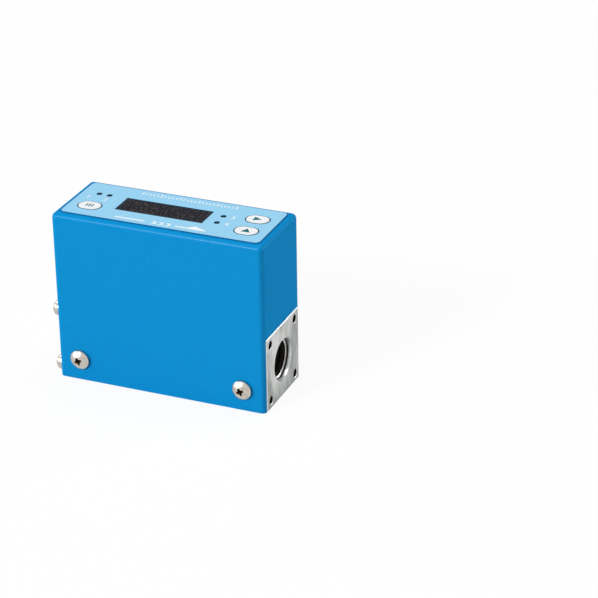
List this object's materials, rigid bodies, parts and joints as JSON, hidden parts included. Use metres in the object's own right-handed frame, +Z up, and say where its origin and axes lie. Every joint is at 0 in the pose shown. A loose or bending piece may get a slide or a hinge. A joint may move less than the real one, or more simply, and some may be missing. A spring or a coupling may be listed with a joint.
{
  "type": "mass flow meter",
  "caption": "Thermal mass flow meter: ported steel flow block under a rounded blue cover, with a display window and keys on top.",
  "frame": {"origin": "centre of the underside of the cover's width and depth, on the base plane", "axes": "+X along the flow, towards the outlet; -Y towards the front; +Z up, towards the display"},
  "size_m": [0.0816, 0.0354, 0.0625],
  "materials": {
    "cover_paint": "satin blue baked paint",
    "panel_film": "printed polyester film, fine matt",
    "tinted_window": "dark tinted acrylic",
    "key_cap": "moulded white plastic",
    "switch_plastic": "moulded black plastic",
    "lens_plastic": "dark clear plastic, unlit",
    "led_chip": "white chip package",
    "module_plastic": "dark moulded plastic",
    "circuit_board": "glass-fibre board with green mask",
    "screw_steel": "bright nickel-plated or stainless steel",
    "bracket_brass": "folded brass",
    "chip_package": "moulded epoxy",
    "capacitor_can": "drawn aluminium can",
    "connector_plastic": "black glass-filled nylon",
    "contact_metal": "gold-flashed brass",
    "block_steel": "milled stainless steel",
    "seal_rubber": "moulded rubber",
    "screen_steel": "perforated stainless steel",
    "element_steel": "turned and drilled stainless steel",
    "tube_steel": "drawn stainless steel capillary",
    "winding_wire": "enamelled resistance wire",
    "spring_steel": "pressed spring steel",
    "bead_glass": "fused glass bead",
    "can_steel": "drawn steel can"
  },
  "bodies": {
    "housing": {"cover": "cover_paint", "panel_overlay": "panel_film", "display_window": "tinted_window", "switch_housings": "switch_plastic", "snap_domes": "spring_steel", "indicator_lenses": "lens_plastic", "indicator_leds": "led_chip", "display_module": "module_plastic", "display_board": "circuit_board", "display_board_screws": "screw_steel", "board_header": "switch_plastic", "main_board": "circuit_board", "board_brackets": "bracket_brass", "bracket_screws": "screw_steel", "processor": "chip_package", "power_converter": "chip_package", "capacitors": "capacitor_can", "connector_socket": "connector_plastic", "connector_pins": "contact_metal", "flow_body": "block_steel", "inlet_flange": "block_steel", "inlet_screws": "screw_steel", "inlet_spring_washers": "spring_steel", "inlet_seal": "seal_rubber", "inlet_screen": "screen_steel", "laminar_element": "element_steel", "element_seal": "seal_rubber", "element_retaining_ring": "spring_steel", "sensor_base": "block_steel", "sensor_seals": "seal_rubber", "sensor_tube": "tube_steel", "sensor_windings": "winding_wire", "sensor_can": "can_steel", "sensor_pins": "contact_metal", "sensor_pin_beads": "bead_glass", "sensor_screws": "screw_steel", "cover_screws": "screw_steel"},
    "mode_key_body": {"mode_key": "key_cap", "mode_switch_plunger": "switch_plastic"},
    "right_key_body": {"right_key": "key_cap", "right_switch_plunger": "switch_plastic"},
    "up_key_body": {"up_key": "key_cap", "up_switch_plunger": "switch_plastic"}
  },
  "joints": [
    {"name": "mode_key_press", "type": "slide", "parent": "housing", "child": "mode_key_body", "axis": [0, 0, -1], "range_m": [0, 0.0003], "stiffness_N_per_m": 6000},
    {"name": "right_key_press", "type": "slide", "parent": "housing", "child": "right_key_body", "axis": [0, 0, -1], "range_m": [0, 0.0003], "stiffness_N_per_m": 6000},
    {"name": "up_key_press", "type": "slide", "parent": "housing", "child": "up_key_body", "axis": [0, 0, -1], "range_m": [0, 0.0003], "stiffness_N_per_m": 6000}
  ]
}
